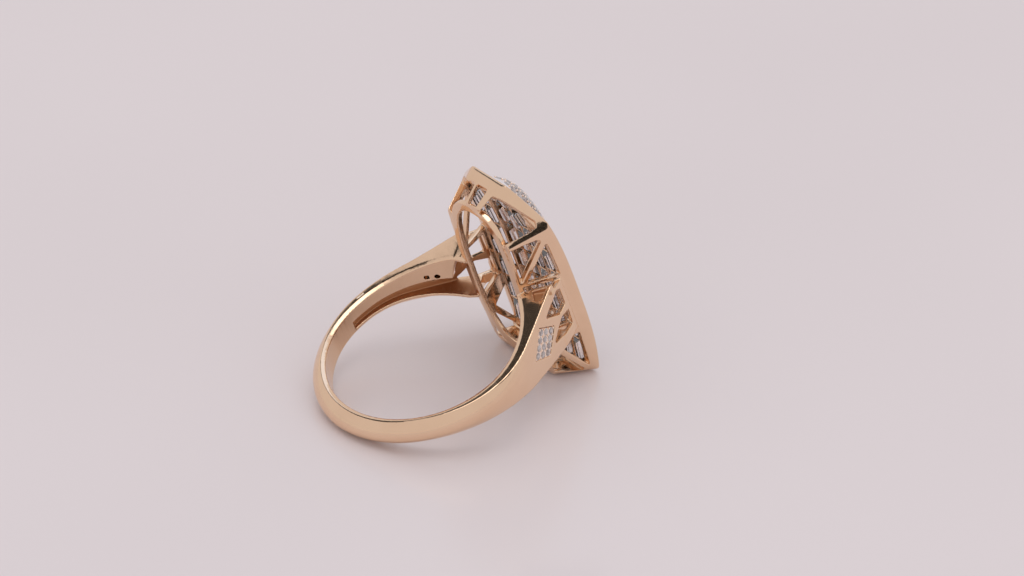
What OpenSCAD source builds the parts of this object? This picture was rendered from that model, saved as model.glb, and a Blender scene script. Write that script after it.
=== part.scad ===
// Openwork diamond ring, lying on its side as it rests on a table.
// The ring is drawn worn: X across the finger, Y along the finger and Z from the middle of the
// finger hole to the middle of the head. lay_down() then turns it onto the table.
// All lengths are millimetres.

/* [Band] */
// Inside diameter of the finger hole
finger_d = 17; // [16.6:0.1:17.6]
// Thickness of the arms at their edges
edge_t = 1.05; // [0.95:0.05:1.2]
// Thickness of the band at its edges, at the back
back_edge_t = 0.45; // [0.4:0.05:0.6]
// Thickness in the middle of the band, at the back
back_t = 1.5; // [1.3:0.05:1.6]
// Rise of the outer face above its edges, where the arms meet the head
arm_dome = 0.12; // [0.05:0.01:0.2]
// Width of the band at the back
back_w = 2.4; // [2.2:0.1:2.6]
// Width of the arms where they meet the head
arm_w = 5.8; // [5.4:0.1:6]
// Reach of the lower side of the arms below their middle line, where they meet the head
arm_low_w = 3.7; // [3.4:0.1:3.9]
// Half the distance between the outer top corners of the arms
arm_reach = 5.8; // [5.6:0.1:6]
// Height of the outer top corners of the arms above the rail of the head
arm_rise = 2.2; // [2:0.1:2.4]
// Width of the rim that the hollow of the inner face leaves along its lower side
flange_w = 0.25; // [0.2:0.05:0.35]
// Thickness that the hollow leaves at the edges of the outer face
skin_t = 0.35; // [0.3:0.05:0.45]

/* [Head] */
// Height of the head, from the underside of the rail to the middle of the front rim
head_h = 4.5; // [4.3:0.1:4.7]
// Thickness of the pierced walls, measured level
wall_t = 0.55; // [0.5:0.05:0.65]
// Height of the feet of the walls above the underside of the rail
wall_foot = 0.1; // [0.05:0.05:0.2]
// Half width of the head at the rail
foot_half_w = 3.9; // [3.85:0.05:4]
// Half width of the head at the front rim
rim_half_w = 5.8; // [5.7:0.05:5.9]
// Reach of the upper end along the finger, at the rail
upper_foot = 9.6; // [9.5:0.1:9.7]
// Reach of the upper end along the finger, at the height of the front rim
upper_rim = 12.25; // [12.1:0.05:12.4]
// Reach of the lower end along the finger, at the rail
lower_foot = 7.6; // [7.5:0.1:7.7]
// Reach of the lower end along the finger, at the height of the front rim
lower_rim = 9.8; // [9.6:0.1:10]
// Fall of the front rim at 8 mm from its middle
rim_fall = 0.45; // [0.3:0.05:0.5]

/* [Rail] */
// Width of the rail that lies along the finger
rail_w = 0.8; // [0.7:0.05:0.9]
// Height of the rail
rail_h = 0.5; // [0.4:0.05:0.6]
// Rise of the rail at 8 mm from its middle
rail_rise = 0.36; // [0.3:0.02:0.4]
// How square the rail's corners are
rail_squareness = 3.1; // [2.6:0.1:3.6]

/* [Stones] */
// Width of a baguette
baguette_w = 1.34; // [1.3:0.02:1.36]
// Depth of a baguette below its girdle
baguette_depth = 0.8; // [0.7:0.05:0.85]
// Gap between a stone or a paved piece and its seat
seat_gap = 0.03; // [0.02:0.01:0.05]
// Half width of the paved spine
spine_half_w = 1.55; // [1.45:0.05:1.6]
// Height of the spine above the middle of the front rim
spine_rise = 2.2; // [1.8:0.1:2.4]

/* [Hidden] */
far_side = 1;
near_side = -1;
sides = [far_side, near_side];
finger_r = finger_d / 2;
edge_r = finger_r + edge_t;
overrun = 1;

// Rail: it stands out a little from the walls, and its inner edge just touches the finger hole
rail_stand = 0.05;
rail_half_w = foot_half_w + rail_stand;
rail_z = sqrt(pow(finger_r, 2) - pow(rail_half_w - rail_w, 2));
rail_mid = (upper_foot - lower_foot) / 2;
rail_half_l = (upper_foot + lower_foot) / 2 + 2 * rail_stand;
rail_steps = 64;

// Length over which the rise of the rail and the fall of the rim are measured
run = 8;
function rail_at(a) = rail_z + rail_rise * pow(a / run, 2);
function rim_at(a) = rail_z + head_h - rim_fall * pow(abs(a) / run, 3);
function rim_slope(a) = -3 * rim_fall / run * pow(abs(a) / run, 2) * sign(a);
line_steps = 40;
line_reach = upper_rim + overrun;
places = [for (k = [0 : line_steps]) line_reach * (2 * k / line_steps - 1)];
function rail_line(lift) = [for (a = places) [a, rail_at(a) + lift]];
function rim_line(lift) = [for (a = places) [a, rim_at(a) + lift]];

// Walls of the head, going round from the far side: the level direction that each one faces,
// its distance from the middle at the rail and its distance at the height of the front rim
walls = [
    [0, foot_half_w, rim_half_w],
    [42, 7.8, 9.95],
    [90, upper_foot, upper_rim],
    [138, 7.8, 9.95],
    [180, foot_half_w, rim_half_w],
    [225, 7.8, 10.65],
    [270, lower_foot, lower_rim],
    [315, 7.8, 10.65]
];
head_spare = 0.3;
head_bottom = rail_z - head_spare;
head_top = rail_z + head_h + head_spare;
function reach(wall, z, inset) = wall[1] + (wall[2] - wall[1]) * (z - rail_z) / head_h - inset;
function crossing(a, reach_a, b, reach_b) = [
    (reach_a * sin(b) - reach_b * sin(a)) / sin(b - a),
    (reach_b * cos(a) - reach_a * cos(b)) / sin(b - a)
];
function plan(z, inset) = [
    for (i = [0 : len(walls) - 1])
        let (this = walls[i], next = walls[(i + 1) % len(walls)])
            crossing(this[0], reach(this, z, inset), next[0], reach(next, z, inset))
];

// Distance inside the foot of a wall at which its openings start
cut_in = 1.5;
// Openings of a side wall, as [along the finger, height above the rail]
side_openings = [
    [[7.0, 0.4], [7.05, 2.6], [6.85, 2.9], [6.55, 2.85], [3.4, 0.55], [3.4, 0.4]],
    [[6.4, 3.3], [2.65, 3.45], [3.1, 0.85]],
    [[2.9, 0.4], [2.2, 2.9], [-2.6, 3.0], [-2.6, 0.4]],
    [[-4.1, 3.3], [-8.15, 3.2], [-4.6, 1.4]],
    [[-3.6, 0.4], [-5.0, 0.95], [-8.25, 2.75], [-8.55, 2.6], [-7.1, 0.4]]
];
// Openings of an arm's outer face, which reaches up to the rim between two side openings
face_openings = [
    [[1.95, 2.35], [1.65, 2.8], [-0.1, 2.8], [-0.2, 1.75], [1.2, 0]],
    [[-0.9, 2.95], [-2.45, 2.85], [-2.4, 1.75], [-1.9, 0.2], [-1.6, 0.1], [-0.95, 1.2], [-0.6, 1.8]]
];
// Opening of an upper corner wall, as [along the wall, height above the rail]
corner_opening = [[6.95, 2.0], [5.1, 2.65], [3.2, 3.25], [2.75, 3.1], [2.75, 2.4], [3.2, 0.4], [6.6, 0.55]];
corner_turn = walls[3][0] - 90;
// Openings of the end walls, as [across the finger, height above the rail]
upper_openings = [
    [[1.5, 0.5], [1.9, 1.0], [1.95, 1.85], [1.5, 2.15], [0.9, 2.18], [0.75, 0.62]],
    [[0.5, 0.68], [0.65, 2.2], [-0.7, 2.22], [-0.55, 0.8]]
];
lower_opening = [[-2.2, 2.7], [2.2, 2.7], [1.6, 1.0], [-1.6, 1.0]];

// Arms: each leaves the round of the band on a straight line to its top corner
arm_top_z = rail_z + arm_rise;
corner_r = norm([arm_reach, arm_top_z]);
corner_angle = 180 - atan2(arm_reach, arm_top_z);
straight_from = corner_angle - acos(edge_r / corner_r);
// Inner foot of the sloped face that ends each arm, and the slope of that face
arm_foot = rail_half_w - rail_w / 2;
arm_slope = atan2(arm_rise, arm_reach - arm_foot);
arm_end = 166;
band_steps = 60;
// How late the band widens on its way from the back to the arms: as a whole, and its lower side
widening = 12;
low_widening = 5.5;
// Narrowing of the inner face for each millimetre that the arms stand out from the round
lean = 0.2;
dome_steps = 5;
// Slope that eases the edges of the inner face: its width and its height
ease_w = 0.16;
ease_h = 0.35;
// Angle up to which the band keeps the edges of its back
back_until = 50;
// The hollow lies below the middle line of the band, and opens out beside the head
hollow_from = 79;
hollow_open_from = 146;
hollow_steps = 16;
function arm_share(angle) = max(0, min(1, (abs(angle) - back_until) / (straight_from - back_until)));
function edge_t_at(angle) = back_edge_t + (edge_t - back_edge_t) * arm_share(angle);
function edge_at(angle) =
    abs(angle) < straight_from ? finger_r + edge_t_at(angle) : edge_r / cos(abs(angle) - straight_from);
function middle_t_at(angle) =
    back_t + (edge_t + arm_dome - back_t) * min(1, abs(angle) / straight_from);
function dome_at(angle) = middle_t_at(angle) - edge_t_at(angle);
function half_w_at(angle) =
    let (rise = sin(min(abs(angle), corner_angle) / 2) / sin(corner_angle / 2))
        (back_w + (arm_w - back_w) * pow(rise, widening)) / 2;
function low_half_w_at(angle) =
    let (rise = sin(min(abs(angle), corner_angle) / 2) / sin(corner_angle / 2))
        back_w / 2 + (arm_low_w - back_w / 2) * pow(rise, low_widening);

function inner_half_w_at(angle) =
    half_w_at(angle) - ease_w - lean * max(0, edge_at(angle) - edge_r);
eased_r = finger_r + ease_h;

// Sections as [distance from the middle of the finger hole, place along the finger]
function band_section(angle) =
    let (
        inner = inner_half_w_at(angle),
        eased = inner + ease_w,
        cut_r = finger_r - overrun,
        cut_w = inner - ease_w * overrun / ease_h
    )
        concat(
            [[cut_r, -cut_w], [eased_r, -eased]],
            [for (i = [-dome_steps : dome_steps])
                [edge_at(angle) + dome_at(angle) * (1 - pow(i / dome_steps, 2)),
                 (i < 0 ? low_half_w_at(angle) : half_w_at(angle)) * i / dome_steps]],
            [[eased_r, eased], [cut_r, cut_w]]
        );
function hollow_section(angle) =
    let (
        half_w = inner_half_w_at(angle) - flange_w,
        high = angle < hollow_open_from ? 0 : half_w,
        cut_r = finger_r - overrun,
        floor_r = edge_at(angle) - skin_t
    )
        [[cut_r, -half_w], [floor_r, -half_w], [floor_r, high], [cut_r, high]];
function turned(section, angle) =
    [for (p = section) [p[0] * sin(angle), p[1], -p[0] * cos(angle)]];

// Paved panel on the outer face of each arm, as [along the finger, height above the rail]
panel_outline = [[1.34, -1.12], [-0.33, 0.67], [-1.95, -1.04], [-0.48, -2.95]];
panel_middle = [-0.33, -1.1];
panel_t = 0.25;
panel_fit = 0.97;
arm_face_r = edge_r + arm_dome;
// Small holes drilled behind the panel, as [angle round the band, place along the finger]
drillings = [[129.5, 0.45], [135.5, 0.35], [131, -0.75], [138, -0.6]];
drilling_d = 0.5;
// Plate that carries the outer face of an arm up to the rim: its thickness, where it starts and
// ends up the slope of the face, and where it ends along the finger
face_t = 0.45;
face_low = 5.6;
face_high = 8;
face_ends = [-3.4, 2.3];
// Distance from the middle at which the openings of the face start
face_from = 4.25;
// Pocket in the upper side of the near arm, as [across the finger, height above the rail]
notch = [[4.8, 0.75], [5.65, 1.65], [6.1, 0.6], [5.95, 0.3], [5.6, 0.25]];
notch_depth = 0.6;

// Rows of baguettes: the level distance of a row from the middle, where it starts and ends along
// the finger, and how many stones it has
rows = [[2.5, -8.4, 9.3, 7], [4.05, -8.2, 7.5, 6]];
row_names = ["inner", "outer"];
function side_name(side) = side == far_side ? "far" : "near";
function pitch(row) = (row[2] - row[1]) / row[3];
function stone_place(row, i) = row[1] + (i - 0.5) * pitch(row);

// The grid that holds the stones: its faces and ledges, measured down from the front rim
grid_top = 0.3;
grid_bottom = 1.0;
grid_inset = 0.3;
ledge_down = 0.67;
ledge_w = 0.12;
// A baguette: its girdle measured down from the front rim, its crown and its slopes
girdle_down = 0.5;
girdle_t = 0.1;
crown_h = 0.3;
crown_inset = 0.25;
facet_edge = 0.02;

// Spine: its ends, its bow and the skirt that stands in the grid
spine_low = -8.4;
spine_high = 10.4;
spine_mid = (spine_low + spine_high) / 2;
spine_half_l = (spine_high - spine_low) / 2;
spine_bow = 0.0195;
spine_base = 0.95;
spine_skirt = 0.35;
spine_stations = 12;
spine_sides = 8;
spine_blunt = 12;
spine_end_fall = 0.9;
spine_round = 0.8;
function spine_top(a) = rail_z + head_h + spine_rise - spine_bow * pow(a, 2);
function spine_section(s) =
    let (
        a = spine_mid + spine_half_l * s,
        skirt = rim_at(a) - spine_skirt,
        rise = (spine_top(a) - skirt) * sqrt(1 - spine_end_fall * pow(abs(s), spine_blunt)),
        base = rim_at(a) - spine_base
    )
        concat(
            [[-spine_half_w, a, base]],
            [for (i = [0 : spine_sides])
                let (turn = 180 * i / spine_sides)
                    [-spine_half_w * cos(turn), a, skirt + rise * pow(sin(turn), spine_round)]],
            [[spine_half_w, a, base]]
        );
spine_sections = [for (i = [-spine_stations : spine_stations]) spine_section(sin(90 * i / spine_stations))];

// Lying down: the lower end of the rim and the lower edge of the back both touch the table
function lower_reach(z) = reach(walls[6], z, 0);
rest_z = rim_at(lower_reach(rim_at(lower_reach(rim_at(lower_rim)))));
rest_a = lower_reach(rest_z);
back_edge_r = edge_at(0);
tilt = atan2(rest_a - back_w / 2, rest_z + back_edge_r);
table_z = -back_edge_r * sin(tilt) - back_w / 2 * cos(tilt);
function laid_x(p) = p[2] * cos(tilt) - p[1] * sin(tilt);
front_x = max([for (section = spine_sections) for (p = section) laid_x(p)]);
back_x = min([for (p = turned(band_section(0), 0)) laid_x(p)]);

// Turns the worn ring onto the table, with the middle of its length over the origin
module lay_down() {
    translate([-(front_x + back_x) / 2, 0, -table_z])
        rotate([0, 90 - tilt, 0])
            rotate([0, 0, 90])
                children();
}

// Solid through a list of sections that all have the same number of points
module skin(sections) {
    n = len(sections[0]);
    last = len(sections) - 1;
    polyhedron(
        points = [for (section = sections) for (p = section) p],
        faces = concat(
            [[for (i = [0 : n - 1]) i]],
            [for (k = [0 : last - 1])
                for (i = [0 : n - 1])
                    let (a = k * n + i, b = k * n + (i + 1) % n)
                        [a, a + n, b + n, b]],
            [[for (i = [n - 1 : -1 : 0]) last * n + i]]
        ),
        convexity = 10
    );
}

// Extrudes an outline given as [along the finger, height] across one side of the head
module across(side, from, to) {
    mirror([side == far_side ? 0 : 1, 0, 0])
        translate([from, 0, 0])
            rotate([90, 0, 90])
                linear_extrude(to - from)
                    children();
}

// Extrudes an outline given as [across the finger, height] along the finger
module along(from, to) {
    translate([0, to, 0])
        rotate([90, 0, 0])
            linear_extrude(to - from)
                children();
}

// Outline between a low line and a high line that run along the finger
module between(low, high) {
    polygon(concat(low, [for (k = [len(high) - 1 : -1 : 0]) high[k]]));
}

// The same, as a solid right across the head
module layer(low, high) {
    across(far_side, -2 * rim_half_w, 2 * rim_half_w)
        between(low, high);
}

// Faceted block that flares with the walls of the head, moved in by an inset
module head_block(inset) {
    skin([for (z = [head_bottom, head_top]) [for (p = plan(z, inset)) [p[0], p[1], z]]]);
}

module rail_outline(half_w, half_l) {
    polygon([for (k = [0 : rail_steps - 1])
        let (c = cos(360 * k / rail_steps), s = sin(360 * k / rail_steps))
            [half_w * sign(c) * pow(abs(c), 2 / rail_squareness),
             rail_mid + half_l * sign(s) * pow(abs(s), 2 / rail_squareness)]]);
}

module rail() {
    intersection() {
        linear_extrude(head_top)
            difference() {
                rail_outline(rail_half_w, rail_half_l);
                rail_outline(rail_half_w - rail_w, rail_half_l - rail_w);
            }
        layer(rail_line(0), rail_line(rail_h));
    }
}

module pierced_walls() {
    difference() {
        intersection() {
            difference() {
                head_block(0);
                head_block(wall_t);
            }
            layer(rail_line(wall_foot), rim_line(0));
        }
        for (side = sides)
            for (outline = side_openings)
                across(side, foot_half_w - cut_in, rim_half_w + overrun)
                    translate([0, rail_z])
                        polygon(outline);
        for (turn = [corner_turn, -corner_turn])
            rotate([0, 0, turn])
                along(walls[1][1] - cut_in, upper_rim + overrun)
                    translate([0, rail_z])
                        scale([sign(turn), 1])
                            polygon(corner_opening);
        for (outline = upper_openings)
            along(upper_foot - cut_in, upper_rim + overrun)
                translate([0, rail_z])
                    polygon(outline);
        along(-lower_rim - overrun, cut_in - lower_foot)
            translate([0, rail_z])
                polygon(lower_opening);
    }
}

// Puts a stone or its seat at its place on the front, square to the curve of the rim
module at_stone(row, side, i) {
    a = stone_place(row, i);
    translate([side * row[0], a, rim_at(a)])
        rotate([atan(rim_slope(a)), 0, 0])
            children();
}

module centred_bar(width, length, low, high) {
    translate([-width / 2, -length / 2, low])
        cube([width, length, high - low]);
}

module stone_seat(row) {
    pocket_w = baguette_w + 2 * seat_gap;
    centred_bar(pocket_w, pitch(row), -ledge_down, overrun);
    centred_bar(pocket_w - 2 * ledge_w, pitch(row) - 2 * ledge_w, -grid_bottom - overrun, overrun);
}

// Grid across the front, with channels for the baguettes and a slot for the spine
module front_grid() {
    difference() {
        intersection() {
            head_block(grid_inset);
            layer(rim_line(-grid_bottom), rim_line(-grid_top));
        }
        for (row = rows)
            for (side = sides)
                for (i = [1 : row[3]])
                    at_stone(row, side, i)
                        stone_seat(row);
        translate([0, spine_mid, rail_z + head_h / 2])
            centred_bar(2 * (spine_half_w + seat_gap), 2 * (spine_half_l + seat_gap), 0, head_h);
    }
}

module finger_hole() {
    rotate([90, 0, 0])
        cylinder(h = 4 * upper_rim, r = finger_r, center = true, $fn = 180);
}

// Sweep of a list of sections round the finger
module swept_band() {
    skin([for (k = [-band_steps / 2 : band_steps / 2])
        let (angle = arm_end * 2 * k / band_steps) turned(band_section(angle), angle)]);
}

module swept_hollow() {
    skin([for (k = [0 : hollow_steps])
        let (angle = hollow_from + (arm_end - hollow_from) * k / hollow_steps)
            turned(hollow_section(angle), angle)]);
}

// What is above the sloped face that ends an arm
module above_arm() {
    translate([arm_foot, 0, rail_z])
        rotate([0, -arm_slope, 0])
            translate([-arm_foot, -finger_r, 0])
                cube([2 * finger_r, 2 * finger_r, 2 * finger_r]);
}

// Slab under the outer face of an arm, with the outline of the panel
module panel_block(fit, bottom, top) {
    intersection() {
        across(far_side, arm_foot, edge_r)
            translate(panel_middle + [0, rail_z])
                scale(fit)
                    translate(-panel_middle)
                        polygon(panel_outline);
        rotate([0, 90 - straight_from, 0])
            translate([arm_face_r + bottom, -arm_w, -arm_face_r])
                cube([top - bottom, 2 * arm_w, 2 * corner_r]);
    }
}

// Turns what is drawn along X to an angle round the finger
module at_angle(angle) {
    rotate([0, 90 - angle, 0])
        children();
}

module arm_cuts() {
    swept_hollow();
    above_arm();
    panel_block(1, -panel_t, overrun);
    for (hole = drillings)
        at_angle(hole[0])
            translate([finger_r, hole[1], 0])
                rotate([0, 90, 0])
                    cylinder(h = edge_t + overrun, d = drilling_d, $fn = 24);
}

// Pocket in the upper side of the near arm
module near_notch() {
    along(arm_w / 2 - notch_depth, arm_w / 2 + overrun)
        translate([0, rail_z])
            mirror([1, 0])
                polygon(notch);
}

// Plate that carries the outer face of an arm up to the rim
module face_plate() {
    at_angle(straight_from)
        translate([arm_face_r - face_t, face_ends[0], face_low])
            cube([face_t, face_ends[1] - face_ends[0], face_high - face_low]);
}

module face_cuts() {
    for (outline = face_openings)
        across(far_side, face_from, finger_r)
            translate([0, rail_z])
                polygon(outline);
}

module band() {
    difference() {
        swept_band();
        finger_hole();
        arm_cuts();
        mirror([1, 0, 0])
            arm_cuts();
        near_notch();
    }
    face_plate();
    mirror([1, 0, 0])
        face_plate();
}

module ring_frame() {
    color("#e0b394")
        lay_down()
            union() {
                difference() {
                    band();
                    face_cuts();
                    mirror([1, 0, 0])
                        face_cuts();
                }
                difference() {
                    union() {
                        rail();
                        pierced_walls();
                        front_grid();
                    }
                    finger_hole();
                }
            }
}

module paved_spine() {
    color("#e9e4e6")
        lay_down()
            skin(spine_sections);
}

module shoulder_panel(side) {
    color("#e9e4e6")
        lay_down()
            mirror([side == far_side ? 0 : 1, 0, 0])
                panel_block(panel_fit, seat_gap - panel_t, 0);
}

module baguette(row, side, i) {
    width = baguette_w;
    length = pitch(row) - 2 * seat_gap;
    color("#f2eef4")
        lay_down()
            at_stone(row, side, i)
                translate([0, 0, -girdle_down])
                    hull() {
                        centred_bar(width, length, 0, girdle_t);
                        centred_bar(width - 2 * crown_inset, length - 2 * crown_inset,
                                    girdle_t + crown_h - facet_edge, girdle_t + crown_h);
                        centred_bar(facet_edge, length - width,
                                    -baguette_depth, facet_edge - baguette_depth);
                    }
}

ring_frame();
paved_spine();
for (side = sides)
    shoulder_panel(side);
for (r = [0 : len(rows) - 1])
    for (side = sides)
        for (i = [1 : rows[r][3]])
            baguette(rows[r], side, i);
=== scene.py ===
"""Looks of the openwork diamond ring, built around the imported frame.

Points of the ring are worked out as it is worn, in millimetres: across the finger, along the finger, and
from the middle of the finger hole to the middle of the head. WORN turns them into the row frame, in metres.
"""

import math

import bmesh
import bpy
import numpy as np
from mathutils import Matrix, Vector


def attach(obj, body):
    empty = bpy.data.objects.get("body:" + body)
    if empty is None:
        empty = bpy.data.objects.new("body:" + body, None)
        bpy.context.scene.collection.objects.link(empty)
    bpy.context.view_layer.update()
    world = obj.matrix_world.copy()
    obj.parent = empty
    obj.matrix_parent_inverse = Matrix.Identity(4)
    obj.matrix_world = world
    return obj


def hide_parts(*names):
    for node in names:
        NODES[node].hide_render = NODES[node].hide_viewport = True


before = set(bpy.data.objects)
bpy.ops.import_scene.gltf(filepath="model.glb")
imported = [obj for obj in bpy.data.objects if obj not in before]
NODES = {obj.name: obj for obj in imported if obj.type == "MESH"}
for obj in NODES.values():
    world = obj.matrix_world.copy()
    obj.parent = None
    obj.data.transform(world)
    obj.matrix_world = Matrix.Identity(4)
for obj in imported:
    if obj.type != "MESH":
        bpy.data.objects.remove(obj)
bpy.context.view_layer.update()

MM = 0.001
FAR, NEAR = 1, -1
SIDE_NAMES = {FAR: "far", NEAR: "near"}

# Sizes that part.scad gives, in millimetres and degrees
TILT = math.radians(21.7925)
HOLE = (-2.9033, 0.0, 4.4369)
FINGER_R = 8.5
EDGE_T, BACK_EDGE_T = 1.05, 0.45
EDGE_R = FINGER_R + EDGE_T
BACK_T, ARM_DOME = 1.5, 0.12
BACK_W, ARM_W, ARM_LOW_W = 2.4, 5.8, 3.7
BACK_UNTIL = 50
WIDENING, LOW_WIDENING = 12, 5.5
EASE_W = 0.16
LEAN = 0.2
SKIN_T = 0.35
FLANGE_W = 0.25
HOLLOW_FROM, HOLLOW_OPEN_FROM = 79, 146
STRAIGHT_FROM, CORNER_ANGLE = 115.23, 150.12
RAIL_Z = 7.89478
HEAD_H = 4.5
RIM_FALL = 0.45
RUN = 8.0
SPINE_LOW, SPINE_HIGH = -8.4, 10.4
SPINE_HALF_W = 1.55
SPINE_RISE = 2.2
SPINE_BOW = 0.0195
SPINE_SKIRT = 0.35
SPINE_BLUNT = 12
SPINE_END_FALL = 0.9
SPINE_ROUND = 0.8
ROWS = {"inner": (2.5, -8.4, 9.3, 7), "outer": (4.05, -8.2, 7.5, 6)}
BAGUETTE_W = 1.34
SEAT_GAP = 0.03
GIRDLE_DOWN = 0.5
GIRDLE_T = 0.1
CROWN_H = 0.3
CROWN_INSET = 0.25
BAGUETTE_DEPTH = 0.8
PANEL_OUTLINE = ((1.34, -1.12), (-0.33, 0.67), (-1.95, -1.04), (-0.48, -2.95))
PANEL_MIDDLE = (-0.33, -1.1)
PANEL_FIT = 0.97
PANEL_T = 0.25
# Walls of the head: the level direction that each one faces, its distance at the rail and at the rim
WALLS = (
    (0, 3.9, 5.8), (42, 7.8, 9.95), (90, 9.6, 12.25), (138, 7.8, 9.95),
    (180, 3.9, 5.8), (225, 7.8, 10.65), (270, 7.6, 9.8), (315, 7.8, 10.65),
)

WORN = Matrix.Translation(Vector(HOLE) * MM) @ Matrix((
    (0, -math.sin(TILT), math.cos(TILT), 0),
    (1, 0, 0, 0),
    (0, math.cos(TILT), math.sin(TILT), 0),
    (0, 0, 0, 1),
)) @ Matrix.Scale(MM, 4)


def rim_at(a):
    return RAIL_Z + HEAD_H - RIM_FALL * (abs(a) / RUN) ** 3


def rim_slope(a):
    return -3 * RIM_FALL / RUN * (abs(a) / RUN) ** 2 * math.copysign(1, a)


# Camera

# Its direction, its distance from the middle of the finger hole in metres, and the pixel that shows this
# middle
CAM_ELEVATION = math.radians(29.58)
CAM_TURN = math.radians(39.01)
CAM_ROLL = math.radians(1.62)
CAM_DISTANCE = 0.3308
FRAME_W, FRAME_H = 1024, 576
FOCAL_PX = 4000.0
HOLE_PX = (427.5, 351.9)
SENSOR = 36.0
CLIP_START, CLIP_END = 0.001, 10


def make_camera():
    ce, se = math.cos(CAM_ELEVATION), math.sin(CAM_ELEVATION)
    ct, st = math.cos(CAM_TURN), math.sin(CAM_TURN)
    forward = Vector((ce * st, ce * ct, -se))
    level = Vector((ct, -st, 0))
    upright = Vector((se * st, se * ct, ce))
    right = level * math.cos(CAM_ROLL) + upright * math.sin(CAM_ROLL)
    up = upright * math.cos(CAM_ROLL) - level * math.sin(CAM_ROLL)
    across = (HOLE_PX[0] - FRAME_W / 2) / FOCAL_PX
    upward = (FRAME_H / 2 - HOLE_PX[1]) / FOCAL_PX
    place = Vector(HOLE) * MM - (forward + across * right + upward * up) * CAM_DISTANCE
    data = bpy.data.cameras.new("camera")
    data.sensor_width = SENSOR
    data.lens = FOCAL_PX * SENSOR / FRAME_W
    data.clip_start = CLIP_START
    data.clip_end = CLIP_END
    camera = bpy.data.objects.new("camera", data)
    camera.matrix_world = Matrix((
        (right.x, up.x, -forward.x, place.x),
        (right.y, up.y, -forward.y, place.y),
        (right.z, up.z, -forward.z, place.z),
        (0, 0, 0, 1),
    ))
    bpy.context.scene.collection.objects.link(camera)
    bpy.context.scene.camera = camera


# Materials

# The part of a noise's range that roughness and colours run over, because it seldom reaches 0 or 1
SPREAD_FROM, SPREAD_TO = 0.3, 0.7
RAMP_FROM, RAMP_TO = 0.35, 0.65


def new_material(name):
    material = bpy.data.materials.new(name)
    material.use_nodes = True
    return material, material.node_tree.nodes, material.node_tree.links


def noise(nodes, links, scale, detail, stretch=(1, 1, 1)):
    """Noise over the object's own coordinates, with scale in features per metre."""
    place = nodes.new("ShaderNodeTexCoord")
    mapping = nodes.new("ShaderNodeMapping")
    mapping.inputs["Scale"].default_value = stretch
    texture = nodes.new("ShaderNodeTexNoise")
    texture.inputs["Scale"].default_value = scale
    texture.inputs["Detail"].default_value = detail
    links.new(place.outputs["Object"], mapping.inputs["Vector"])
    links.new(mapping.outputs["Vector"], texture.inputs["Vector"])
    return texture.outputs["Fac"]


def spread(nodes, links, value, low, high):
    """Maps the middle of a noise onto the range from low to high."""
    node = nodes.new("ShaderNodeMapRange")
    node.inputs["From Min"].default_value = SPREAD_FROM
    node.inputs["From Max"].default_value = SPREAD_TO
    node.inputs["To Min"].default_value = low
    node.inputs["To Max"].default_value = high
    links.new(value, node.inputs["Value"])
    return node.outputs["Result"]


def ramp(nodes, links, value, low, high):
    node = nodes.new("ShaderNodeValToRGB")
    node.color_ramp.elements[0].position = RAMP_FROM
    node.color_ramp.elements[1].position = RAMP_TO
    node.color_ramp.elements[0].color = (*low, 1)
    node.color_ramp.elements[1].color = (*high, 1)
    links.new(value, node.inputs["Fac"])
    return node.outputs["Color"]


def bump(nodes, links, height, strength, distance):
    node = nodes.new("ShaderNodeBump")
    node.inputs["Strength"].default_value = strength
    node.inputs["Distance"].default_value = distance
    links.new(height, node.inputs["Height"])
    return node.outputs["Normal"]


# Painted shade in the hollows: the darker orange colour the metal there is painted, how much rougher it is,
# and the mesh value that marks it
HOLLOW_SHADE_COLOUR = (0.60, 0.33, 0.18)
UNPOLISHED_ROUGHER = 0.32
HOLLOW_MARK = "hollow"
# Noise of the metal, as features per metre, levels of detail and stretch
CLOUDS = (350, 3)
SCRATCHES = (2500, 4, (1, 0.25, 1))
WAVES = (1200, 2)
WAVE_STRENGTH, WAVE_H = 0.05, 0.00002
# Sockets of a Mix node set to colours, which share their names with its other sockets
MIX_SHARE, MIX_FIRST, MIX_SECOND, MIX_RESULT = 0, 6, 7, 2


def gold_material(name, low, high, rough_low, rough_high, marked=False):
    """Polished gold: clouds of slightly different colour, and fine scratches left by the polishing wheel.

    Where a marked mesh has hollows, the metal there is painted a darker orange for the shade in them, and is
    rougher.
    """
    material, nodes, links = new_material(name)
    shader = nodes["Principled BSDF"]
    shader.inputs["Metallic"].default_value = 1
    colour = ramp(nodes, links, noise(nodes, links, *CLOUDS), low, high)
    scratches = noise(nodes, links, *SCRATCHES)
    rough = spread(nodes, links, scratches, rough_low, rough_high)
    if marked:
        # Painted shade: the mark mixes a darker orange colour into the hollows and makes them rougher
        mark = nodes.new("ShaderNodeAttribute")
        mark.attribute_name = HOLLOW_MARK
        mixed = nodes.new("ShaderNodeMix")
        mixed.data_type = "RGBA"
        links.new(mark.outputs["Fac"], mixed.inputs[MIX_SHARE])
        links.new(colour, mixed.inputs[MIX_FIRST])
        mixed.inputs[MIX_SECOND].default_value = (*HOLLOW_SHADE_COLOUR, 1)
        colour = mixed.outputs[MIX_RESULT]
        # The mark times the extra roughness, plus the polished metal's own
        rougher = nodes.new("ShaderNodeMath")
        rougher.operation = "MULTIPLY_ADD"
        links.new(mark.outputs["Fac"], rougher.inputs[0])
        rougher.inputs[1].default_value = UNPOLISHED_ROUGHER
        links.new(rough, rougher.inputs[2])
        rough = rougher.outputs[0]
    links.new(colour, shader.inputs["Base Color"])
    links.new(rough, shader.inputs["Roughness"])
    waves = bump(nodes, links, noise(nodes, links, *WAVES), WAVE_STRENGTH, WAVE_H)
    links.new(waves, shader.inputs["Normal"])
    return material


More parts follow.
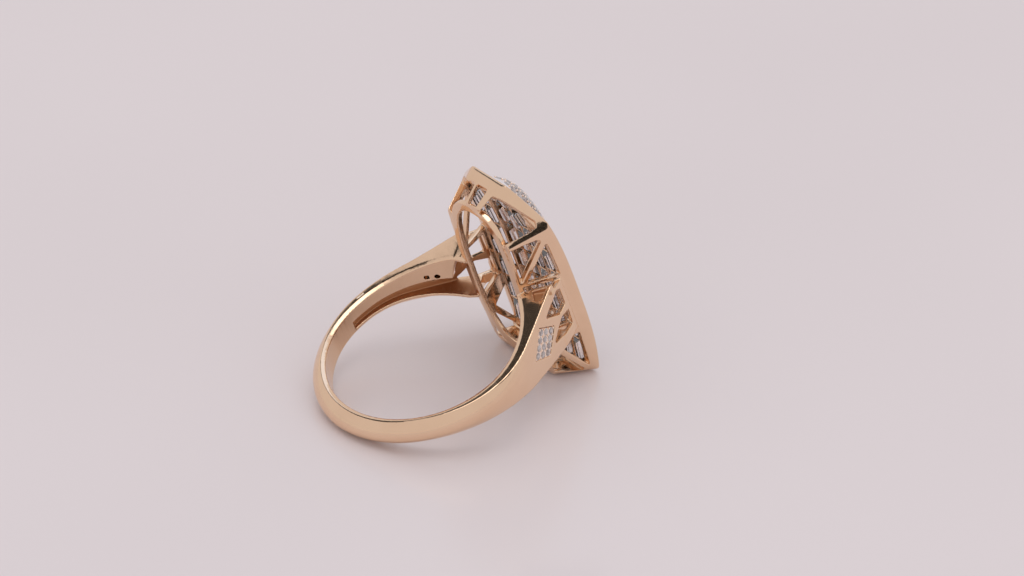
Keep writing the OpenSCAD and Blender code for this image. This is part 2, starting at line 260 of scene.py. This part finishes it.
# Stones and floor: noise, its two colours, and the shader's own values
DIAMOND_CLOUDS = (300, 1)
DIAMOND_COLOURS = ((0.96, 0.92, 0.93), (1.0, 0.97, 0.97))
DIAMOND_IOR = 2.417
# The small stones' sparkle is painted: noise colours them from dull grey-brown to bright white
PAVE_SPARKLE_NOISE = (2600, 2)
PAVE_SPARKLE_COLOURS = ((0.50, 0.41, 0.39), (1.0, 0.97, 0.96))
PAVE_TRANSMISSION, PAVE_IOR, PAVE_ROUGHNESS = 0.45, 2.2, 0.02
FLOOR_CLOUDS = (12, 2)
FLOOR_COLOURS = ((0.835, 0.78, 0.80), (0.865, 0.81, 0.83))
FLOOR_ROUGHNESS, FLOOR_SPECULAR = 0.22, 0.5


def diamond_material():
    material, nodes, links = new_material("diamond")
    shader = nodes["Principled BSDF"]
    shader.inputs["Transmission Weight"].default_value = 1
    shader.inputs["IOR"].default_value = DIAMOND_IOR
    shader.inputs["Roughness"].default_value = 0
    links.new(ramp(nodes, links, noise(nodes, links, *DIAMOND_CLOUDS), *DIAMOND_COLOURS),
              shader.inputs["Base Color"])
    return material


def pave_material():
    """Small stones whose sparkle is painted: noise colours some facets bright and some dull, and little light
    passes through.
    """
    material, nodes, links = new_material("small_diamonds")
    shader = nodes["Principled BSDF"]
    shader.inputs["Transmission Weight"].default_value = PAVE_TRANSMISSION
    shader.inputs["IOR"].default_value = PAVE_IOR
    shader.inputs["Roughness"].default_value = PAVE_ROUGHNESS
    links.new(ramp(nodes, links, noise(nodes, links, *PAVE_SPARKLE_NOISE), *PAVE_SPARKLE_COLOURS),
              shader.inputs["Base Color"])
    return material


def floor_material():
    material, nodes, links = new_material("floor")
    shader = nodes["Principled BSDF"]
    links.new(ramp(nodes, links, noise(nodes, links, *FLOOR_CLOUDS), *FLOOR_COLOURS),
              shader.inputs["Base Color"])
    shader.inputs["Roughness"].default_value = FLOOR_ROUGHNESS
    shader.inputs["Specular IOR Level"].default_value = FLOOR_SPECULAR
    return material


# Each gold has two colours, and its lowest and highest roughness
ROSE = ((0.85, 0.60, 0.41), (0.88, 0.63, 0.435), 0.10, 0.17)
GOLD = gold_material("rose_gold", *ROSE)
CASTING_GOLD = gold_material("casting_gold", *ROSE, marked=True)
BEAD_GOLD = gold_material("bead_gold", (0.95, 0.76, 0.62), (0.97, 0.80, 0.67), 0.12, 0.2)
BED_GOLD = gold_material("bed_gold", (0.90, 0.86, 0.88), (0.94, 0.90, 0.92), 0.1, 0.2)
DIAMOND = diamond_material()
SMALL_DIAMOND = pave_material()


# Mesh helpers

def add_piece(name, mesh, material, slot, *replaced):
    """Makes a piece of a mesh given in the row frame, and sets it on the one body of the ring."""
    piece = bpy.data.objects.new(name, mesh)
    bpy.context.scene.collection.objects.link(piece)
    mesh.materials.clear()
    mesh.materials.append(material)
    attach(piece, "root")
    if replaced:
        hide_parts(*replaced)


def mesh_of(name, points, faces, smooth=False):
    """Mesh of points given as the ring is worn, in millimetres."""
    mesh = bpy.data.meshes.new(name)
    mesh.from_pydata([WORN @ Vector(p) for p in points], [], faces)
    mesh.validate()
    body = bmesh.new()
    body.from_mesh(mesh)
    bmesh.ops.recalc_face_normals(body, faces=body.faces)
    body.to_mesh(mesh)
    body.free()
    mesh.polygons.foreach_set("use_smooth", [smooth] * len(mesh.polygons))
    return mesh


# The casting: band, rail, pierced walls and grid

# Net of the casting: the gap that is welded, the size of its quads, how its edges are rounded, and the share
# of its faces that is kept
WELD_GAP = 0.0005
VOXEL = 0.06
ROUNDING_SHARE, ROUNDING_STEPS = 0.5, 6
KEEP_SHARE = 0.24


def widening_at(angle):
    """Share of its widening that the band has reached, at an angle from the middle of its back."""
    reached = np.minimum(np.abs(angle), CORNER_ANGLE)
    return np.sin(np.radians(reached) / 2) / math.sin(math.radians(CORNER_ANGLE) / 2)


def half_w_at(angle):
    return (BACK_W + (ARM_W - BACK_W) * widening_at(angle) ** WIDENING) / 2


def low_half_w_at(angle):
    return BACK_W / 2 + (ARM_LOW_W - BACK_W / 2) * widening_at(angle) ** LOW_WIDENING


def inner_half_w_at(angle):
    return half_w_at(angle) - EASE_W - LEAN * np.maximum(edge_at(angle) - EDGE_R, 0)


def edge_t_at(angle):
    share = np.clip((np.abs(angle) - BACK_UNTIL) / (STRAIGHT_FROM - BACK_UNTIL), 0, 1)
    return BACK_EDGE_T + (EDGE_T - BACK_EDGE_T) * share


def edge_at(angle):
    past = np.maximum(np.abs(angle) - STRAIGHT_FROM, 0)
    return np.where(past > 0, EDGE_R / np.cos(np.radians(past)), FINGER_R + edge_t_at(angle))


def dome_at(angle):
    middle_t = BACK_T + (EDGE_T + ARM_DOME - BACK_T) * np.minimum(1, np.abs(angle) / STRAIGHT_FROM)
    return middle_t - edge_t_at(angle)


# How near a point lies to the band's outer face, its inner face or the hollow's floor to be moved onto it
NEAR_OUTER, NEAR_INNER, NEAR_FLOOR = 0.07, 0.05, 0.06
# How far the outer face's points keep from the band's side, in millimetres
SIDE_MARGIN = 0.05
# How many degrees the hollow's floor starts after the hollow, and its mark before it
HOLLOW_MARGIN = 1
# The angle where the smooth band ends, and the least radius that a point's is divided by
SMOOTH_UNTIL = 128
SMALLEST_R = 1e-6


def ease_band(points):
    """Moves points that lie on the faceted band onto the smooth curves that its facets stand for."""
    angle = np.degrees(np.arctan2(points[:, 0], -points[:, 2]))
    radius = np.hypot(points[:, 0], points[:, 2])
    along = points[:, 1]
    half_w = np.where(along < 0, low_half_w_at(angle), half_w_at(angle))
    outer = edge_at(angle) + dome_at(angle) * (1 - np.clip(along / half_w, -1, 1) ** 2)
    floor = edge_at(angle) - SKIN_T
    eased = radius.copy()
    in_band = np.abs(angle) < SMOOTH_UNTIL
    near_outer = in_band & (np.abs(radius - outer) < NEAR_OUTER) & (np.abs(along) < half_w - SIDE_MARGIN)
    eased[near_outer] = outer[near_outer]
    near_inner = in_band & (np.abs(radius - FINGER_R) < NEAR_INNER)
    eased[near_inner] = FINGER_R
    inside = (along < 0) & (along > FLANGE_W - inner_half_w_at(angle))
    near_floor = in_band & (np.abs(angle) > HOLLOW_FROM + HOLLOW_MARGIN) & inside
    near_floor &= np.abs(radius - floor) < NEAR_FLOOR
    eased[near_floor] = floor[near_floor]
    scale = eased / np.maximum(radius, SMALLEST_R)
    points[:, 0] *= scale
    points[:, 2] *= scale
    return points


# Rounded upright corners of the head: the numbers of the two walls, the radius at the rail and at the rim,
# and how far from the corner the curve starts on the first wall, as a share of the radius (None: the same on
# both walls)
CORNERS = (
    (1, 0, 1.0, 3.8, 0.33), (3, 4, 1.0, 3.8, 0.33),
    (1, 2, 0.5, 1.8, None), (3, 2, 0.5, 1.8, None),
    (7, 0, 0.8, 4.0, None), (5, 4, 0.8, 4.0, None), (7, 6, 0.8, 4.0, None), (5, 6, 0.8, 4.0, None),
)
RIM_EDGE_R = 0.42


def wall_reach(wall, share):
    return wall[1] + (wall[2] - wall[1]) * share


def round_corners(points):
    """Draws points outside the rounded upright corners of the head in to their curve."""
    share = (points[:, 2] - RAIL_Z) / HEAD_H
    for i, j, r_rail, r_rim, start in CORNERS:
        a, b = math.radians(WALLS[i][0]), math.radians(WALLS[j][0])
        turn = (b - a + math.pi) % (2 * math.pi) - math.pi
        normal = np.array((math.cos(a), math.sin(a)))
        tangent = np.array((-math.sin(a), math.cos(a))) * math.copysign(1, turn)
        turn = abs(turn)
        radius = r_rail + (r_rim - r_rail) * np.clip(share, 0, 1)
        reach_a, reach_b = wall_reach(WALLS[i], share), wall_reach(WALLS[j], share)
        corner = (reach_b - reach_a * math.cos(turn)) / math.sin(turn)
        begin = corner - radius * (math.tan(turn / 2) if start is None else start)
        out = points[:, :2] @ normal - (reach_a - radius)
        past = points[:, :2] @ tangent - begin
        far_out = np.hypot(out, past)
        moved = (share > 0) & (past > 0) & (past < out * math.tan(turn)) & (far_out > radius)
        pull = (radius[moved] / far_out[moved] - 1)[:, None]
        points[moved, :2] += pull * (out[moved, None] * normal + past[moved, None] * tangent)
    return points


def round_rim(points):
    """Rounds the outer edge of the front rim."""
    share = (points[:, 2] - RAIL_Z) / HEAD_H
    normals = np.array([(math.cos(math.radians(w[0])), math.sin(math.radians(w[0]))) for w in WALLS])
    outs = points[:, :2] @ normals.T - np.array([wall_reach(w, share) for w in WALLS]).T
    nearest = outs.argmax(axis=1)
    out = outs.max(axis=1) + RIM_EDGE_R
    top = points[:, 2] - rim_at(points[:, 1]) + RIM_EDGE_R
    far_out = np.hypot(out, top)
    moved = (out > 0) & (top > 0) & (far_out > RIM_EDGE_R)
    pull = RIM_EDGE_R / far_out[moved] - 1
    points[moved, :2] += (pull * out[moved])[:, None] * normals[nearest[moved]]
    points[moved, 2] += pull * top[moved]
    return points


def remeshed(source, voxel):
    """The source's outer surface as an even net of small quads, in millimetres as the ring is worn."""
    work = bpy.data.objects.new("work", source.data.copy())
    bpy.context.scene.collection.objects.link(work)
    work.data.transform(WORN.inverted())
    weld = work.modifiers.new("weld", "WELD")
    weld.merge_threshold = WELD_GAP
    net = work.modifiers.new("net", "REMESH")
    net.mode = "VOXEL"
    net.voxel_size = voxel
    shown = work.evaluated_get(bpy.context.evaluated_depsgraph_get())
    mesh = bpy.data.meshes.new_from_object(shown)
    bpy.data.objects.remove(work)
    return mesh


def modified(mesh, *settings):
    """The mesh after a list of modifiers, each given as its type and its values."""
    work = bpy.data.objects.new("work", mesh)
    bpy.context.scene.collection.objects.link(work)
    for kind, values in settings:
        modifier = work.modifiers.new(kind, kind)
        for key, value in values.items():
            setattr(modifier, key, value)
    shown = work.evaluated_get(bpy.context.evaluated_depsgraph_get())
    made = bpy.data.meshes.new_from_object(shown)
    bpy.data.objects.remove(work)
    return made


def points_of(mesh):
    points = np.empty(len(mesh.vertices) * 3)
    mesh.vertices.foreach_get("co", points)
    return points.reshape(-1, 3)


# The pocket in the near arm, where painted shade deepens inwards: its bounds across the finger and above the
# rail, its start along the finger, the depth at which its painted shade and roughness are full, and how far
# the mark stays from the arm's side
POCKET_ACROSS = (4.7, 6.2)
POCKET_UP = (0.15, 1.75)
POCKET_FROM = 2.2
POCKET_DEPTH = 0.5
POCKET_MARGIN = 0.08
# The hollow's mark of painted shade: the angle where it ends, how far it goes past the hollow's sides and
# floor, and the depth over which it comes in
HOLLOW_UNTIL = 155
PAST_SIDE, PAST_FLOOR = 0.04, 0.05
MARK_FADE = 0.2


def hollow_shade_and_roughness(points):
    """How much painted shade and extra roughness each point of the casting gets, from 0 to 1."""
    angle = np.degrees(np.arctan2(points[:, 0], -points[:, 2]))
    radius = np.hypot(points[:, 0], points[:, 2])
    along = points[:, 1]
    low = FLANGE_W - inner_half_w_at(angle)
    high = np.where(np.abs(angle) < HOLLOW_OPEN_FROM, 0, -low)
    hollow = (np.abs(angle) > HOLLOW_FROM - HOLLOW_MARGIN) & (np.abs(angle) < HOLLOW_UNTIL)
    hollow &= (along > low - PAST_SIDE) & (along < high + PAST_SIDE)
    hollow &= radius < edge_at(angle) - SKIN_T + PAST_FLOOR
    share = np.where(hollow, np.clip((radius - FINGER_R - PAST_SIDE) / MARK_FADE, 0, 1), 0.0)
    across, up = -points[:, 0], points[:, 2] - RAIL_Z
    pocket = (across > POCKET_ACROSS[0]) & (across < POCKET_ACROSS[1])
    pocket &= (up > POCKET_UP[0]) & (up < POCKET_UP[1])
    pocket &= (along > POCKET_FROM) & (along < half_w_at(angle) - POCKET_MARGIN)
    return np.where(pocket, np.clip((ARM_W / 2 - along) / POCKET_DEPTH, 0, 1), share)


def make_casting():
    mesh = remeshed(NODES["ring_frame"], VOXEL)
    points = round_rim(round_corners(ease_band(points_of(mesh))))
    mesh.vertices.foreach_set("co", points.ravel())
    mesh = modified(
        mesh,
        ("SMOOTH", {"factor": ROUNDING_SHARE, "iterations": ROUNDING_STEPS}),
        ("DECIMATE", {"ratio": KEEP_SHARE}),
    )
    # The mark paints shade into the hollows and the pocket as a darker colour, and makes the metal there
    # rougher
    mark = mesh.attributes.new(HOLLOW_MARK, "FLOAT", "POINT")
    mark.data.foreach_set("value", hollow_shade_and_roughness(points_of(mesh)))
    mesh.transform(WORN)
    mesh.polygons.foreach_set("use_smooth", [True] * len(mesh.polygons))
    mesh.name = "ring_casting"
    add_piece("ring_casting", mesh, CASTING_GOLD, "rose_gold", "ring_frame")


# Stones

def loops_mesh(loops):
    """Points and faces of a closed solid through loops of the same number of points."""
    n = len(loops[0])
    points = [p for loop in loops for p in loop]
    faces = [list(range(n))]
    for k in range(len(loops) - 1):
        for i in range(n):
            j = (i + 1) % n
            faces.append([k * n + i, (k + 1) * n + i, (k + 1) * n + j, k * n + j])
    faces.append(list(range((len(loops) - 1) * n, len(loops) * n))[::-1])
    return points, faces


# Steps of a baguette as (share of the way in from the girdle, height above or below the girdle's faces)
CROWN_STEPS = ((1.0, 1.0), (0.6, 0.72), (0.25, 0.36), (0.0, 0.0))
PAVILION_STEPS = ((0.0, 0.0), (0.3, 0.42), (0.65, 0.78), (0.97, 1.0))


def baguette_points(width, length):
    loops = []
    for share, rise in CROWN_STEPS:
        inset = CROWN_INSET * share
        loops.append((width / 2 - inset, length / 2 - inset, GIRDLE_T + CROWN_H * rise))
    for share, fall in PAVILION_STEPS:
        inset = width / 2 * share
        loops.append((width / 2 - inset, length / 2 - inset, -BAGUETTE_DEPTH * fall))
    return [[(-x, -y, z), (x, -y, z), (x, y, z), (-x, y, z)] for x, y, z in loops]


def make_baguettes():
    for row, (out, low, high, count) in ROWS.items():
        pitch = (high - low) / count
        for side, side_name in SIDE_NAMES.items():
            for i in range(count):
                a = low + (i + 0.5) * pitch
                turn = Matrix.Rotation(math.atan(rim_slope(a)), 4, "X")
                seat = Matrix.Translation((side * out, a, rim_at(a))) @ turn
                loops = [
                    [seat @ Vector((x, y, z - GIRDLE_DOWN)) for x, y, z in loop]
                    for loop in baguette_points(BAGUETTE_W, pitch - 2 * SEAT_GAP)
                ]
                points, faces = loops_mesh(loops)
                name = f"baguette_{row}_{side_name}_{i + 1}"
                add_piece(f"{name}_cut", mesh_of(name, points, faces), DIAMOND, "diamond", name)


# A round brilliant of radius 1, its table up, as rings of (radius, height, turn in half steps)
BRILLIANT_SIDES = 8
BRILLIANT_RINGS = (
    (0.55, 0.32, 0), (0.80, 0.20, 1), (1.0, 0.03, 0), (1.0, -0.03, 0), (0.42, -0.55, 1), (0.06, -0.82, 0),
)


def brilliant(points, faces, seat, radius):
    """Adds a round brilliant, standing on a seat whose Z points out of the metal."""
    start = len(points)
    n = BRILLIANT_SIDES
    for r, z, turn in BRILLIANT_RINGS:
        for i in range(n):
            angle = 2 * math.pi * (i + turn / 2) / n
            out = r * radius
            points.append(seat @ Vector((out * math.cos(angle), out * math.sin(angle), z * radius)))
    faces.append([start + i for i in range(n)])
    for k in range(len(BRILLIANT_RINGS) - 1):
        shift = BRILLIANT_RINGS[k + 1][2] - BRILLIANT_RINGS[k][2]
        for i in range(n):
            j = (i + 1) % n
            this, other = start + k * n, start + (k + 1) * n
            if shift == 0:
                faces.append([this + i, other + i, other + j, this + j])
            elif shift > 0:
                faces.append([this + i, other + i, this + j])
                faces.append([this + j, other + i, other + j])
            else:
                faces.append([this + i, other + i, other + j])
                faces.append([this + i, other + j, this + j])
    last = start + (len(BRILLIANT_RINGS) - 1) * n
    faces.append([last + i for i in range(n)][::-1])


def bead(points, faces, centre, radius):
    """Adds a small bead of metal."""
    start = len(points)
    body = bmesh.new()
    bmesh.ops.create_icosphere(body, subdivisions=2, radius=radius)
    points.extend(Vector(centre) + v.co for v in body.verts)
    faces.extend([start + v.index for v in f.verts] for f in body.faces)
    body.free()


def seat_at(place, along_step, round_step, sink):
    """Frame at a point of a surface with Z out of it, from a step along it and a step round it."""
    normal = along_step.cross(round_step).normalized()
    x = along_step.normalized()
    turn = Matrix((x, normal.cross(x), normal)).transposed().to_4x4()
    return Matrix.Translation(place - normal * sink) @ turn


# The paved spine

# Its stones: how deep they sit, how many rows there are, and about how far apart they are along it
PAVE_SINK = 0.12
PAVE_ROWS = 7
PAVE_PITCH = 0.86
# Their radius as a share of that distance, or of so many widths of a row where that is less
PAVE_FILL = 0.47
PAVE_ROW_FILL = 1.16
# Where the first and the last of them lie along the finger
PAVE_FIRST, PAVE_LAST = -7.85, 9.95
# Its beads: radius, depth, and places beside a stone in rows
BEAD_R = 0.1
BEAD_SINK = 0.06
BEAD_OFFSETS = (-0.64, 0.64)
# Its bed, the steps along and round it that give its slope, and the points that measure the way over it
SPINE_STATIONS = 72
SPINE_SIDES = 32
STEP_ALONG, STEP_ROUND = 0.05, 0.5
WAY_POINTS = 61
# The open back of the spine: where it starts below the rim, its stones and the thin walls between them
BACK_DOWN = 0.42
BACK_COLUMNS = (-0.72, 0.72)
BACK_COUNT = 7
BACK_STONE_W = 1.3
BACK_DEPTH = 0.55
BACK_FLAT = 0.04
WALL_T = 0.1
WALL_H = 0.35


def spine_top(a):
    return RAIL_Z + HEAD_H + SPINE_RISE - SPINE_BOW * a * a


def spine_point(a, turn):
    """Point of the spine's surface at a place along the finger, turn degrees up from its far edge."""
    middle, half_l = (SPINE_LOW + SPINE_HIGH) / 2, (SPINE_HIGH - SPINE_LOW) / 2
    s = min(1, abs((a - middle) / half_l))
    skirt = rim_at(a) - SPINE_SKIRT
    rise = (spine_top(a) - skirt) * math.sqrt(1 - SPINE_END_FALL * s ** SPINE_BLUNT)
    up = math.sin(math.radians(turn))
    return Vector((SPINE_HALF_W * math.cos(math.radians(turn)), a, skirt + rise * max(up, 0) ** SPINE_ROUND))


def spine_seat(a, turn, sink):
    along_step = spine_point(a + STEP_ALONG, turn) - spine_point(a - STEP_ALONG, turn)
    round_step = spine_point(a, turn + STEP_ROUND) - spine_point(a, turn - STEP_ROUND)
    return seat_at(spine_point(a, turn), along_step, round_step, sink)


def spine_turns(a, shares):
    """Turns at the given shares of the way over the spine, and the length of that way."""
    turns = np.linspace(0, 180, WAY_POINTS)
    places = [spine_point(a, turn) for turn in turns]
    way = np.cumsum([0] + [(q - p).length for p, q in zip(places, places[1:])])
    return np.interp(np.array(shares) * way[-1], way, turns), way[-1]


def make_spine():
    loops = []
    for k in range(SPINE_STATIONS + 1):
        a = SPINE_LOW + (SPINE_HIGH - SPINE_LOW) * k / SPINE_STATIONS
        base = rim_at(a) - BACK_DOWN
        loop = [Vector((SPINE_HALF_W - PAVE_SINK, a, base))]
        for turn in np.linspace(0, 180, SPINE_SIDES + 1):
            place = spine_point(a, turn)
            middle = Vector((0, a, rim_at(a) - SPINE_SKIRT))
            loop.append(place + (middle - place).normalized() * PAVE_SINK)
        loop.append(Vector((PAVE_SINK - SPINE_HALF_W, a, base)))
        loops.append(loop)
    points, faces = loops_mesh(loops)
    add_piece("spine_bed", mesh_of("spine_bed", points, faces, True), BED_GOLD, "pave", "paved_spine")

    stone_points, stone_faces, bead_points, bead_faces = [], [], [], []
    count = round((PAVE_LAST - PAVE_FIRST) / PAVE_PITCH)
    pitch_a = (PAVE_LAST - PAVE_FIRST) / count
    for i in range(2 * count + 1):
        a = PAVE_FIRST + pitch_a * i / 2
        rows = [row for row in range(PAVE_ROWS) if (row + i) % 2 == 0]
        turns, way = spine_turns(a, [(row + 0.5) / PAVE_ROWS for row in rows])
        radius = PAVE_FILL * min(pitch_a, PAVE_ROW_FILL * way / PAVE_ROWS)
        for turn in turns:
            brilliant(stone_points, stone_faces, spine_seat(a, turn, PAVE_SINK), radius)
        bead_shares = [(row + 0.5 + offset) / PAVE_ROWS for row in rows for offset in BEAD_OFFSETS]
        bead_turns, _ = spine_turns(a, bead_shares)
        for turn in bead_turns:
            seat = spine_seat(a, turn, BEAD_SINK)
            bead(bead_points, bead_faces, seat.translation, BEAD_R)
    stones = mesh_of("spine_stones", stone_points, stone_faces)
    add_piece("spine_stones", stones, SMALL_DIAMOND, "diamond", "paved_spine")
    beads = mesh_of("spine_beads", bead_points, bead_faces, True)
    add_piece("spine_beads", beads, BEAD_GOLD, "rose_gold", "paved_spine")


def bar(points, faces, seat, low, high):
    """Adds a straight bar between two corners given in its seat."""
    start = len(points)
    for z in (low[2], high[2]):
        for x, y in ((low[0], low[1]), (high[0], low[1]), (high[0], high[1]), (low[0], high[1])):
            points.append(seat @ Vector((x, y, z)))
    for quad in ((3, 2, 1, 0), (4, 5, 6, 7), (0, 1, 5, 4), (1, 2, 6, 5), (2, 3, 7, 6), (3, 0, 4, 7)):
        faces.append([start + k for k in quad])


def make_spine_back():
    """Long stones with their points to the inside of the head, parted by thin walls."""
    stone_points, stone_faces, wall_points, wall_faces = [], [], [], []
    pitch = (SPINE_HIGH - SPINE_LOW) / BACK_COUNT
    for i in range(BACK_COUNT):
        a = SPINE_LOW + (i + 0.5) * pitch
        turn = Matrix.Rotation(math.atan(rim_slope(a)), 4, "X")
        seat = Matrix.Translation((0, a, rim_at(a) - BACK_DOWN)) @ turn
        for x in BACK_COLUMNS:
            w, h = BACK_STONE_W / 2, pitch / 2 - WALL_T / 2
            loops = []
            for share, fall in PAVILION_STEPS:
                inset = w * share
                z = -BACK_FLAT - BACK_DEPTH * fall
                loops.append([seat @ Vector((x + sx * (w - inset), sy * (h - inset), z))
                              for sx, sy in ((-1, -1), (1, -1), (1, 1), (-1, 1))])
            points, faces = loops_mesh(loops)
            start = len(stone_points)
            stone_points.extend(points)
            stone_faces.extend([start + k for k in face] for face in faces)
        bar(wall_points, wall_faces, seat, (-WALL_T / 2, -pitch / 2, -WALL_H), (WALL_T / 2, pitch / 2, 0))
        if i > 0:
            bar(wall_points, wall_faces, seat, (-SPINE_HALF_W + PAVE_SINK, -pitch / 2 - WALL_T / 2, -WALL_H),
                (SPINE_HALF_W - PAVE_SINK, -pitch / 2 + WALL_T / 2, 0))
    backs = mesh_of("spine_backs", stone_points, stone_faces)
    add_piece("spine_backs", backs, DIAMOND, "diamond", "paved_spine")
    walls = mesh_of("spine_walls", wall_points, wall_faces)
    add_piece("spine_walls", walls, GOLD, "rose_gold", "paved_spine")


# The paved panels of the arms

PANEL_ACROSS, PANEL_ALONG = 3, 4
PANEL_STONE_R = 0.31
PANEL_BEAD_R = 0.11
PANEL_BED = 0.09
# Where the rows of beads start and how far they run, as shares of the panel, and the step that gives the way
# out of its face
PANEL_BEADS_FROM, PANEL_BEADS_RUN = 0.04, 0.92
PANEL_STEP = 0.01


def panel_point(side, along, height, lift):
    """Point over the outer face of an arm, at a place along the finger and a height above the rail."""
    turn = math.radians(STRAIGHT_FROM)
    out = EDGE_R + ARM_DOME + lift
    up = (RAIL_Z + height + math.cos(turn) * (EDGE_R + ARM_DOME)) / math.sin(turn)
    x = out * math.sin(turn) + up * math.cos(turn)
    z = -out * math.cos(turn) + up * math.sin(turn)
    return Vector((side * x, along, z))


def panel_place(u, v):
    """Place in the panel's outline, as [along the finger, height above the rail], for u and v from 0 to 1."""
    corners = [np.array(c) for c in PANEL_OUTLINE]
    low = corners[0] * (1 - u) + corners[1] * u
    high = corners[3] * (1 - u) + corners[2] * u
    middle = np.array(PANEL_MIDDLE)
    return middle + (low * (1 - v) + high * v - middle) * PANEL_FIT


def make_panel(side):
    name = f"shoulder_panel_{SIDE_NAMES[side]}"
    outline = [panel_place(u, v) for u, v in ((0, 0), (1, 0), (1, 1), (0, 1))]
    lifts = (-PANEL_BED, SEAT_GAP - PANEL_T)
    loops = [[panel_point(side, *place, lift) for place in outline] for lift in lifts]
    points, faces = loops_mesh(loops)
    add_piece(f"{name}_bed", mesh_of(name, points, faces), BEAD_GOLD, "pave", name)
    stone_points, stone_faces, bead_points, bead_faces = [], [], [], []
    for i in range(PANEL_ACROSS):
        for j in range(PANEL_ALONG):
            u, v = (i + 0.5) / PANEL_ACROSS, (j + 0.5) / PANEL_ALONG
            place = panel_point(side, *panel_place(u, v), 0)
            along_step = Vector((0, 1, 0))
            out = panel_point(side, *panel_place(u, v), PANEL_STEP) - place
            round_step = out.cross(along_step)
            seat = seat_at(place, along_step, round_step, PANEL_BED)
            brilliant(stone_points, stone_faces, seat, PANEL_STONE_R)
    for i in range(PANEL_ACROSS + 1):
        for j in range(PANEL_ALONG + 1):
            u = PANEL_BEADS_FROM + PANEL_BEADS_RUN * i / PANEL_ACROSS
            v = PANEL_BEADS_FROM + PANEL_BEADS_RUN * j / PANEL_ALONG
            bead(bead_points, bead_faces, panel_point(side, *panel_place(u, v), -PANEL_BED), PANEL_BEAD_R)
    add_piece(f"{name}_stones", mesh_of(name, stone_points, stone_faces), SMALL_DIAMOND, "diamond", name)
    add_piece(f"{name}_beads", mesh_of(name, bead_points, bead_faces, True), BEAD_GOLD, "rose_gold", name)


# Stage

FLOOR_HALF = 1.5
WARM_WHITE = (1, 0.97, 0.95)
SKY_WHITE = (0.72, 0.82, 1.0)
WORLD_COLOUR, WORLD_STRENGTH = (0.86, 0.82, 0.83), 0.84
LAMP_PLACE = (-0.1, 0.0, 0.6)
LAMP_SIZE, LAMP_POWER = 0.35, 0.35
RING_MIDDLE = (0.003, 0.0, 0.008)
HEAD_CORNER = (0.005, -0.006, 0.0145)
# Shells: name, centre, radius in metres, azimuths and elevations in degrees, strength and colour
SHELLS = (
    ("dark_behind", RING_MIDDLE, 0.45, (88, 155), (41, 66), 0.05, WARM_WHITE),
    ("dark_front", HEAD_CORNER, 0.012, (222, 256), (-22, 15), 0.03, WARM_WHITE),
    ("bright_above", RING_MIDDLE, 0.4, (0, 360), (74, 90), 2.2, WARM_WHITE),
    ("bright_behind", RING_MIDDLE, 0.42, (30, 84), (42, 70), 1.35, SKY_WHITE),
)
SHELL_STEPS = 12


def make_floor():
    mesh = bpy.data.meshes.new("floor")
    h = FLOOR_HALF
    mesh.from_pydata([(-h, -h, 0), (h, -h, 0), (h, h, 0), (-h, h, 0)], [], [(0, 1, 2, 3)])
    floor = bpy.data.objects.new("floor", mesh)
    mesh.materials.append(floor_material())
    bpy.context.scene.collection.objects.link(floor)


def make_shell(name, centre, radius, azimuths, elevations, strength, colour):
    """A patch of a sphere that only reflections and stones see. Under the world's strength it looks dark."""
    material, nodes, links = new_material(name)
    nodes.remove(nodes["Principled BSDF"])
    glow = nodes.new("ShaderNodeEmission")
    glow.inputs["Color"].default_value = (*colour, 1)
    glow.inputs["Strength"].default_value = strength
    links.new(glow.outputs["Emission"], nodes["Material Output"].inputs["Surface"])
    points, faces = [], []
    for i in range(SHELL_STEPS + 1):
        elevation = math.radians(elevations[0] + (elevations[1] - elevations[0]) * i / SHELL_STEPS)
        for j in range(SHELL_STEPS + 1):
            azimuth = math.radians(azimuths[0] + (azimuths[1] - azimuths[0]) * j / SHELL_STEPS)
            flat = math.cos(elevation)
            way = Vector((flat * math.cos(azimuth), flat * math.sin(azimuth), math.sin(elevation)))
            points.append(Vector(centre) + radius * way)
    row = SHELL_STEPS + 1
    for i in range(SHELL_STEPS):
        for j in range(SHELL_STEPS):
            start = i * row + j
            faces.append((start, start + 1, start + row + 1, start + row))
    mesh = bpy.data.meshes.new(name)
    mesh.from_pydata(points, [], faces)
    mesh.materials.append(material)
    shell = bpy.data.objects.new(name, mesh)
    bpy.context.scene.collection.objects.link(shell)
    shell.visible_camera = False
    shell.visible_diffuse = False
    shell.visible_shadow = False


def make_world():
    world = bpy.data.worlds.new("studio")
    world.use_nodes = True
    background = world.node_tree.nodes["Background"]
    background.inputs["Color"].default_value = (*WORLD_COLOUR, 1)
    background.inputs["Strength"].default_value = WORLD_STRENGTH
    bpy.context.scene.world = world


def make_lamp(name, place, size, power, colour):
    data = bpy.data.lights.new(name, "AREA")
    data.shape = "SQUARE"
    data.size = size
    data.energy = power
    data.color = colour
    lamp = bpy.data.objects.new(name, data)
    lamp.location = place
    lamp.rotation_euler = (Vector((0, 0, 0)) - Vector(place)).to_track_quat("-Z", "Y").to_euler()
    bpy.context.scene.collection.objects.link(lamp)


make_camera()
make_casting()
make_baguettes()
make_spine()
make_spine_back()
for side in SIDE_NAMES:
    make_panel(side)
make_floor()
make_world()
for shell in SHELLS:
    make_shell(*shell)
make_lamp("top", LAMP_PLACE, LAMP_SIZE, LAMP_POWER, WARM_WHITE)
bpy.context.scene.view_settings.view_transform = "Standard"
